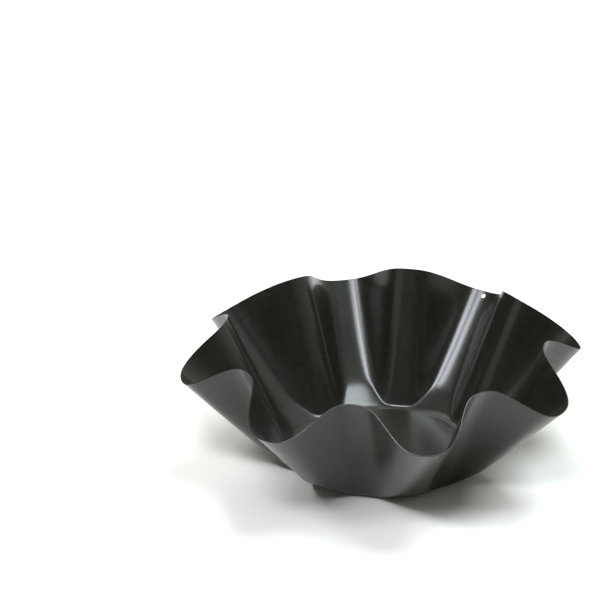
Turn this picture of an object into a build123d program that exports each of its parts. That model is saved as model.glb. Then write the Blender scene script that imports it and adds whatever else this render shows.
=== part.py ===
# Fluted baking pan: one disc of thin steel sheet, drawn in a single press tool
# into a flat round base and eight deep flutes, trimmed, then pierced to hang.
from build123d import *
import math
import os

# Sheet
sheet = 0.5                   # thickness of the steel

# Ridges: steep, from the edge of the base to the high points of the rim
flutes = 8
base_radius = 51.4            # where the ridge fronts would reach the floor
rim_mean_radius = 96.5
rim_wave = 12.42              # half the swing of the rim between flute and ridge
rim_flattening = 0.92         # broadens the crests of the rim wave
blank_sphere_radius = 163.3   # the trimmed rim lies on this sphere
blank_sphere_drop = 68.5      # its centre, below the base

# Flute channels: a gently sloping web at the base, then the straight channel
web_run = 1.52                # outwards per unit of height
channel_start = 56.1          # radius of the channel's line carried down to the floor
channel_run = 1.02
web_bend = 1.5                # softness of the bend between the two
foot_height = 12.9            # where the feet of two ridges meet
foot_spread = 1.92            # above 1 narrows the webs between the ridge feet

# Press tool radii
foot_softness = 1.4           # blend where a ridge foot meets the webs
edge_setback = 1.8            # rounding of the base edge, measured inwards
edge_height = 2.2             # and upwards

# Hanging hole, in the flute on +Y
hole_radius = 1.3
hole_from_rim = 3.0           # hole centre down the sheet from the rim

# Levels where the wall is laid out; above the last it runs straight to the rim
levels = (0, 0.15, 0.45, 0.9, 1.5, 2.2, 3, 4, 5, 6, 7, 8, 9, 10, 11, 12, 13, 14.5, 16, 18, 21, 26, 34)
points_per_flute = 20


def soft_least(one, other, softness):
    """The smaller of two lengths, rounded where they cross."""
    return (one + other - math.hypot(one - other, softness)) / 2


def rim_radius(angle):
    wave = flutes * angle
    return rim_mean_radius + rim_wave * math.cos(wave) - rim_flattening * math.cos(3 * wave)


def rim_height(angle):
    return math.sqrt(blank_sphere_radius**2 - rim_radius(angle) ** 2) - blank_sphere_drop


def channel_radius(height):
    """Distance out to the floor of the flutes: the web, then the channel."""
    web = base_radius + web_run * height
    channel = channel_start + channel_run * height
    return soft_least(web, channel, web_bend)


def wall_radius(angle, height):
    """Distance from the pan's axis to the outer skin, a flute centred on angle 0."""
    share = ((1 + math.cos(flutes * angle)) / 2) ** foot_spread
    foot = foot_height * share
    lean = (rim_radius(angle) - channel_radius(foot)) / (rim_height(angle) - foot)
    ridge = channel_radius(foot) + (height - foot) * lean
    above_floor = max(0, 1 - height / edge_height)
    rounding = edge_setback * (1 - math.sqrt(1 - above_floor**2))
    return soft_least(channel_radius(height), ridge, foot_softness) - rounding


def skin_point(angle, height, depth):
    """Point of the wall a given depth inside the outer skin, square to it."""
    step = 1e-3
    radius = wall_radius(angle, height)
    turn = (wall_radius(angle + step, height) - wall_radius(angle - step, height)) / (2 * step)
    rise = (wall_radius(angle, height + step) - wall_radius(angle, height)) / step
    across = turn / radius
    reach = depth / math.sqrt(1 + across**2 + rise**2)
    out = Vector(-math.sin(angle), math.cos(angle), 0)
    sideways = Vector(-math.cos(angle), -math.sin(angle), 0)
    point = out * (radius - reach) + sideways * (across * reach)
    return point + Vector(0, 0, max(height + rise * reach, depth))


def laid_out(height_at, depth):
    """Closed wavy line round the wall, at the height given for each angle."""
    count = flutes * points_per_flute
    angles = [2 * math.pi * (i + points_per_flute / 2) / count for i in range(count)]
    points = [skin_point(angle, height_at(angle), depth) for angle in angles]
    steps = [i / count for i in range(count + 1)]
    return Edge.make_spline(points, periodic=True, parameters=steps)


def skin(depth):
    """Lines up the wall from the base to the trimmed rim."""
    lines = [laid_out(lambda angle: level, depth) for level in levels]
    return lines + [laid_out(rim_height, depth)]


# The drawn sheet: outer and inner skins, the cut edge of the rim, the flat base.
outer_lines = skin(0)
inner_lines = skin(sheet)
faces = [Face.make_surface_from_curves(outer_lines[-1], inner_lines[-1])]
for lines in (outer_lines, inner_lines):
    faces += [Face.make_surface_from_curves(low, high) for low, high in zip(lines, lines[1:])]
    faces.append(Face(Wire(lines[0])))

# Hanging hole, square to the sheet on the centre line of the flute on +Y.
climb_angle = math.atan2(rim_height(0) - foot_height, rim_radius(0) - channel_radius(foot_height))
hole_z = rim_height(0) - hole_from_rim * math.sin(climb_angle)
hole_y = wall_radius(0, hole_z)
hole_plane = Plane(origin=(0, hole_y, hole_z), z_dir=(0, math.sin(climb_angle), -math.cos(climb_angle)))

with BuildPart() as pan:
    add(Solid(Shell(faces)))
    with BuildSketch(hole_plane):
        Circle(hole_radius)
    extrude(amount=2, both=True, mode=Mode.SUBTRACT)

pan.part.label = "pan"

os.makedirs("parts", exist_ok=True)
export_step(pan.part, "parts/pan.step")
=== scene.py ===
import math

import bmesh
import bpy
from mathutils import Matrix, Vector


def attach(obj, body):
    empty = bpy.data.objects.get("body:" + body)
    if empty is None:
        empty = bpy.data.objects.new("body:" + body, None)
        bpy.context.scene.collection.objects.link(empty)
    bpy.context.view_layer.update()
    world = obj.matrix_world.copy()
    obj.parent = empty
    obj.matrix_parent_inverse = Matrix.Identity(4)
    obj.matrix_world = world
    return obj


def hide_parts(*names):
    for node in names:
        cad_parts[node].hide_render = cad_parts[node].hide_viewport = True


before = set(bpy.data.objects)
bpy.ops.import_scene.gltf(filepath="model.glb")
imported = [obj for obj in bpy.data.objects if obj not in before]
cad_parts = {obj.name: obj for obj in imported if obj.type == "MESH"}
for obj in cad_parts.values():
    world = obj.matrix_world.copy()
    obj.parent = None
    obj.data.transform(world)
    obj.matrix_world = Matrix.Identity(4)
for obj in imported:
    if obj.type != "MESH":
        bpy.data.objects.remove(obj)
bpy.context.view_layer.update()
bpy.ops.object.select_all(action="DESELECT")


# The pan: one disc of thin steel sheet, drawn in a single press stroke into a flat
# base and eight flutes that flare to a trimmed, unrolled rim. A small hole is
# pierced near the rim of the flute on +Y. Sizes are in millimetres.
SHEET = 0.5
EDGE_BREAK = 0.1
FLUTES = 8
BASE_RADIUS = 51.4
RIM_RADIUS = 96.5
RIM_WAVE = 12.42
RIM_FLATTENING = 0.92
BLANK_SPHERE = 163.3
BLANK_DROP = 68.5
WEB_RUN = 1.52
CHANNEL_START = 56.1
CHANNEL_RUN = 1.02
WEB_BEND = 1.5
FOOT_HEIGHT = 12.9
FOOT_SPREAD = 1.92
FOOT_SOFTNESS = 1.4
EDGE_SETBACK = 1.8
EDGE_HEIGHT = 2.2


def soft_least(one, other, softness):
    """The lesser of two radii, with the corner between them rounded."""
    return (one + other - math.hypot(one - other, softness)) / 2


def rim_radius(angle):
    wave = FLUTES * angle
    return RIM_RADIUS + RIM_WAVE * math.cos(wave) - RIM_FLATTENING * math.cos(3 * wave)


def rim_height(angle):
    """The trimmed rim lies on a sphere, centred below the base."""
    return math.sqrt(BLANK_SPHERE**2 - rim_radius(angle) ** 2) - BLANK_DROP


def channel_radius(height):
    """Floor of a flute: a low web off the base that bends up into a channel."""
    web = BASE_RADIUS + WEB_RUN * height
    channel = CHANNEL_START + CHANNEL_RUN * height
    return soft_least(web, channel, WEB_BEND)


def wall_radius(angle, height):
    """Channel or ridge, whichever is nearer the axis, with a rounded base edge."""
    share = ((1 + math.cos(FLUTES * angle)) / 2) ** FOOT_SPREAD
    foot = FOOT_HEIGHT * share
    lean = (rim_radius(angle) - channel_radius(foot)) / (rim_height(angle) - foot)
    ridge = channel_radius(foot) + (height - foot) * lean
    above_floor = max(0.0, 1 - height / EDGE_HEIGHT)
    rounding = EDGE_SETBACK * (1 - math.sqrt(1 - above_floor**2))
    return soft_least(channel_radius(height), ridge, FOOT_SOFTNESS) - rounding


def on_wall(angle, height):
    """Place on the outer skin, angles counted from the flute with the hole."""
    radius = wall_radius(angle, height) / 1000
    return Vector((-radius * math.sin(angle), radius * math.cos(angle), height / 1000))


# Rows of the sheet from the middle of the base to the rim: rings on the flat, close
# heights round the base edge and up the webs, then shares of the straight wall.
COLUMNS_PER_FLUTE = 72
EDGE_STEPS = 8
base_rings = [0, 10, 20, 30, 38, 44, 46.8, 47.8]
edge_turns = [math.pi / 2 * step / EDGE_STEPS for step in range(EDGE_STEPS + 1)]
edge_heights = [EDGE_HEIGHT * (1 - math.cos(turn)) for turn in edge_turns]
web_heights = [2.7 + 0.5 * step for step in range(12)]
web_heights += [8.8 + 0.6 * step for step in range(6)]
web_heights += [12.5, 13.3, 14.2, 15.3, 16.7, 18.5, 21, 24]
straight_from = web_heights[-1]
shares = [0.05 * step for step in range(1, 18)]
shares += [0.887, 0.911, 0.935, 0.959, 0.98, 0.993, 1.0]
rows = base_rings + edge_heights + web_heights + shares

bpy.ops.mesh.primitive_grid_add(
    x_subdivisions=FLUTES * COLUMNS_PER_FLUTE, y_subdivisions=len(rows) - 1, size=1
)
pan = bpy.context.object
pan.name = "pan_sheet"
for vertex in pan.data.vertices:
    angle = 2 * math.pi * (vertex.co.x + 0.5) - math.pi / FLUTES
    row = round((vertex.co.y + 0.5) * (len(rows) - 1))
    if row < len(base_rings):
        vertex.co = Vector((-math.sin(angle), math.cos(angle), 0)) * rows[row] / 1000
    elif row < len(rows) - len(shares):
        vertex.co = on_wall(angle, rows[row])
    else:
        straight = rim_height(angle) - straight_from
        vertex.co = on_wall(angle, straight_from + straight * rows[row])

bpy.ops.object.mode_set(mode="EDIT")
bpy.ops.mesh.select_all(action="SELECT")
bpy.ops.mesh.remove_doubles(threshold=1e-6)
bpy.ops.mesh.normals_make_consistent(inside=False)
bpy.ops.mesh.select_all(action="DESELECT")

# The hole: a patch of the sheet round its centre is opened, and the patch's border
# is drawn in, ring by ring, to a circle that lies on the sheet. Each ring has a
# radius, and a share by which its points are evened out round it. Only sheet past
# FLUTE_END on +Y is opened. The border to draw in lies within BORDER_REACH of the
# hole's centre, and the rim above BORDER_TOP is left alone.
HOLE_RADIUS = 1.3
HOLE_FROM_RIM = 3.0
HOLE_RINGS = ((1.9, 0.0), (1.55, 0.5), (HOLE_RADIUS, 1.0))
PATCH_ACROSS = 6.4
PATCH_UP = 3.8
FLUTE_END = 90
BORDER_REACH = 6.0
BORDER_TOP = 2.5
climb = rim_height(0) - FOOT_HEIGHT
climb_angle = math.atan2(climb, rim_radius(0) - channel_radius(FOOT_HEIGHT))
hole_height = rim_height(0) - HOLE_FROM_RIM * math.sin(climb_angle)
hole_centre = on_wall(0, hole_height)
up_sheet = Vector((0, math.cos(climb_angle), math.sin(climb_angle)))


def place_at_hole(point):
    """Distances across and up the sheet from the hole's centre."""
    offset = point - hole_centre
    return offset.x, offset.dot(up_sheet)


sheet_mesh = bmesh.from_edit_mesh(pan.data)
for vertex in sheet_mesh.verts:
    across, up = place_at_hole(vertex.co)
    in_patch = abs(across) < PATCH_ACROSS / 2000 and abs(up) < PATCH_UP / 2000
    vertex.select_set(in_patch and vertex.co.y > FLUTE_END / 1000)
bmesh.update_edit_mesh(pan.data)
bpy.ops.mesh.delete(type="VERT")
sheet_mesh = bmesh.from_edit_mesh(pan.data)
for edge in sheet_mesh.edges:
    middle = (edge.verts[0].co + edge.verts[1].co) / 2
    across, up = place_at_hole(middle)
    near = (middle - hole_centre).length < BORDER_REACH / 1000 and up < BORDER_TOP / 1000
    edge.select_set(edge.is_boundary and near)
bmesh.update_edit_mesh(pan.data)
for ring_radius, evenness in HOLE_RINGS:
    bpy.ops.mesh.extrude_edges_move()
    sheet_mesh = bmesh.from_edit_mesh(pan.data)
    turns = {}
    for vertex in sheet_mesh.verts:
        if vertex.select:
            across, up = place_at_hole(vertex.co)
            turns[vertex] = math.atan2(up, across)
    for rank, vertex in enumerate(sorted(turns, key=turns.get)):
        even_turn = 2 * math.pi * (rank + 0.5) / len(turns) - math.pi
        turn = turns[vertex] + evenness * (even_turn - turns[vertex])
        angle = -ring_radius * math.cos(turn) / (hole_centre.y * 1000)
        rise = ring_radius * math.sin(turn) * math.sin(climb_angle)
        vertex.co = on_wall(angle, hole_height + rise)
    bmesh.update_edit_mesh(pan.data)
bpy.ops.mesh.select_all(action="DESELECT")
bpy.ops.object.mode_set(mode="OBJECT")

# The sheet gets its thickness inwards, and its cut edges are broken very slightly.
thickness = pan.modifiers.new("thickness", "SOLIDIFY")
thickness.thickness = SHEET / 1000
thickness.offset = -1
thickness.use_even_offset = True
thickness.use_rim = True
broken_edge = pan.modifiers.new("broken_edge", "BEVEL")
broken_edge.width = EDGE_BREAK / 1000
broken_edge.segments = 2
broken_edge.limit_method = "ANGLE"
broken_edge.angle_limit = math.radians(60)
bpy.ops.object.modifier_apply(modifier="thickness")
bpy.ops.object.modifier_apply(modifier="broken_edge")
bpy.ops.object.shade_smooth_by_angle(angle=math.radians(40))


def srgb(hex_value):
    channels = [int(hex_value[start : start + 2], 16) / 255 for start in (1, 3, 5)]
    linear = [c / 12.92 if c <= 0.04045 else ((c + 0.055) / 1.055) ** 2.4 for c in channels]
    return (*linear, 1.0)


def add_node(owner, kind, inputs=None, **settings):
    """Adds a node, sets its properties, and sets or links its inputs by name or number."""
    node = owner.node_tree.nodes.new(kind)
    for name, value in settings.items():
        setattr(node, name, value)
    for name, value in (inputs or {}).items():
        if isinstance(value, bpy.types.NodeSocket):
            owner.node_tree.links.new(value, node.inputs[name])
        else:
            node.inputs[name].default_value = value
    return node


# Silicone-polyester non-stick over steel: sprayed and baked, near black with a soft
# satin shine under a thin, glossier skin of clear resin. The film is a little uneven
# from the spraying, so the shine drifts over a few centimetres and the tone over a
# few millimetres, and close up there is a fine orange-peel ripple. Drawing has left
# faint lines up the wall, which fade out towards the base. Sizes are in millimetres.
DRIFT_SIZE = 35.7
MOTTLE_SIZE = 3.846
RIPPLE_SIZE = 1.111
RIPPLE_DEPTH = 0.05
LINE_SPACING_AT_RIM = 2.144
LINE_DEPTH = 0.1
LINES_START = 4
LINES_FULL = 16
coating = bpy.data.materials.new("nonstick_coating")
coating.use_nodes = True
coating.node_tree.nodes.clear()
on_pan = add_node(coating, "ShaderNodeTexCoord").outputs["Object"]
drift = add_node(
    coating,
    "ShaderNodeTexNoise",
    {"Vector": on_pan, "Scale": 1000 / DRIFT_SIZE, "Detail": 3.0, "Roughness": 0.55},
)
mottle = add_node(
    coating,
    "ShaderNodeTexNoise",
    {"Vector": on_pan, "Scale": 1000 / MOTTLE_SIZE, "Detail": 4.0, "Roughness": 0.6},
)
ripple = add_node(
    coating,
    "ShaderNodeTexNoise",
    {"Vector": on_pan, "Scale": 1000 / RIPPLE_SIZE, "Detail": 2.0, "Roughness": 0.5},
)
tone = add_node(coating, "ShaderNodeValToRGB", {"Fac": mottle.outputs["Fac"]})
tone.color_ramp.elements[0].position = 0.3
tone.color_ramp.elements[0].color = srgb("#15140f")
tone.color_ramp.elements[1].position = 0.75
tone.color_ramp.elements[1].color = srgb("#201e18")
shine = add_node(
    coating,
    "ShaderNodeMapRange",
    {
        "Value": drift.outputs["Fac"],
        "From Min": 0.3,
        "From Max": 0.7,
        "To Min": 0.3,
        "To Max": 0.38,
    },
)
relief = add_node(
    coating,
    "ShaderNodeBump",
    {"Height": ripple.outputs["Fac"], "Strength": 0.12, "Distance": RIPPLE_DEPTH / 1000},
)
level_place = add_node(
    coating, "ShaderNodeVectorMath", {0: on_pan, 1: (1, 1, 0)}, operation="MULTIPLY"
)
way_round = add_node(
    coating, "ShaderNodeVectorMath", {0: level_place.outputs["Vector"]}, operation="NORMALIZE"
)
draw_lines = add_node(
    coating,
    "ShaderNodeTexNoise",
    {
        "Vector": way_round.outputs["Vector"],
        "Scale": RIM_RADIUS / LINE_SPACING_AT_RIM,
        "Detail": 3.0,
        "Roughness": 0.6,
    },
)
split_place = add_node(coating, "ShaderNodeSeparateXYZ", {"Vector": on_pan})
on_the_wall = add_node(
    coating,
    "ShaderNodeMapRange",
    {
        "Value": split_place.outputs["Z"],
        "From Min": LINES_START / 1000,
        "From Max": LINES_FULL / 1000,
        "To Min": 0.0,
        "To Max": 0.5,
    },
)
drawn = add_node(
    coating,
    "ShaderNodeBump",
    {
        "Height": draw_lines.outputs["Fac"],
        "Strength": on_the_wall.outputs["Result"],
        "Distance": LINE_DEPTH / 1000,
        "Normal": relief.outputs["Normal"],
    },
)
film = add_node(
    coating,
    "ShaderNodeBsdfPrincipled",
    {
        "Base Color": tone.outputs["Color"],
        "Roughness": shine.outputs["Result"],
        "IOR": 1.33,
        "Coat Weight": 0.55,
        "Coat Roughness": 0.18,
        "Coat IOR": 1.5,
        "Normal": drawn.outputs["Normal"],
    },
)
add_node(coating, "ShaderNodeOutputMaterial", {"Surface": film.outputs["BSDF"]})
pan.data.materials.append(coating)
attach(pan, "root")
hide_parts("pan")


# The stand: a plain, matt white sweep, 8 m square, that the pan rests on. It lies
# a tenth of a millimetre below the base, so that the two faces never share a plane.
bpy.ops.object.select_all(action="DESELECT")
bpy.ops.mesh.primitive_plane_add(size=8, location=(0, 0, -0.0001))
floor = bpy.context.object
floor.name = "floor"
floor_paint = bpy.data.materials.new("white_floor")
floor_paint.use_nodes = True
floor_film = floor_paint.node_tree.nodes["Principled BSDF"]
floor_film.inputs["Base Color"].default_value = srgb("#f8f6f0")
floor_film.inputs["Roughness"].default_value = 0.6
floor.data.materials.append(floor_paint)

# Light: soft boxes high in front, almost overhead and at the back, with a pale card
# low at the front left, in a surround that is bright behind the pan, towards a
# bearing of 10 degrees from +Y, and dim elsewhere.
BRIGHT_WAY = (0.174, 0.985, 0)
bpy.context.scene.view_settings.view_transform = "Standard"
surround = bpy.data.worlds.new("surround")
surround.use_nodes = True
surround.node_tree.nodes.clear()
way_seen = add_node(surround, "ShaderNodeTexCoord").outputs["Generated"]
towards_back = add_node(
    surround, "ShaderNodeVectorMath", {0: way_seen, 1: BRIGHT_WAY}, operation="DOT_PRODUCT"
)
falloff = add_node(
    surround,
    "ShaderNodeMapRange",
    {
        "Value": towards_back.outputs["Value"],
        "From Min": -0.1,
        "From Max": 0.7,
        "To Min": 0.08,
        "To Max": 0.75,
    },
    interpolation_type="SMOOTHSTEP",
)
glow = add_node(
    surround,
    "ShaderNodeBackground",
    {"Color": srgb("#fffdf8"), "Strength": falloff.outputs["Result"]},
)
add_node(surround, "ShaderNodeOutputWorld", {"Surface": glow.outputs["Background"]})
bpy.context.scene.world = surround
BOX_DISTANCE = 2


def soft_box(name, bearing, height, width, depth, radiance, colour):
    """A soft box aimed at the pan, placed by its bearing from +Y and its height angle."""
    level = math.cos(math.radians(height))
    east = level * math.sin(math.radians(bearing))
    north = level * math.cos(math.radians(bearing))
    way = Vector((east, north, math.sin(math.radians(height))))
    light = bpy.data.lights.new(name, "AREA")
    light.shape = "RECTANGLE"
    light.size = width
    light.size_y = depth
    light.energy = radiance * math.pi * width * depth
    light.color = srgb(colour)[:3]
    lamp = bpy.data.objects.new(name, light)
    lamp.location = way * BOX_DISTANCE
    lamp.rotation_euler = way.to_track_quat("Z", "Y").to_euler()
    bpy.context.scene.collection.objects.link(lamp)


soft_box("front_wide_box", -172, 56, 1.3, 0.4, 7, "#f4f9ff")
soft_box("front_left_box", -149, 54, 0.46, 0.4, 16, "#f4f9ff")
soft_box("front_right_box", 166, 59, 0.7, 0.4, 17, "#f4f9ff")
soft_box("overhead_box", 40, 73, 0.95, 0.8, 14, "#e9f5f8")
soft_box("rear_left_box", -60, 50, 1.0, 1.0, 2.5, "#fffaf0")
soft_box("side_card", -155, 20, 1.3, 1.0, 0.6, "#fffdf8")

# Camera: a long lens from 1.2 m away, looking down over the near flutes, with the
# pan low and to the right in the view.
camera_data = bpy.data.cameras.new("camera")
camera_data.lens = 135.9
camera_data.sensor_width = 36
camera = bpy.data.objects.new("camera", camera_data)
camera_place = Matrix.Translation((0.5770, -0.9107, 0.5814))
camera_right = Vector((0.8246, 0.5657, -0.0084)).normalized()
camera_forward = Vector((-0.5176, 0.7483, -0.4149)).normalized()
camera_up = camera_right.cross(camera_forward)
camera_turn = Matrix((camera_right, camera_up, -camera_forward)).transposed().to_4x4()
camera.matrix_world = camera_place @ camera_turn
bpy.context.scene.collection.objects.link(camera)
bpy.context.scene.camera = camera
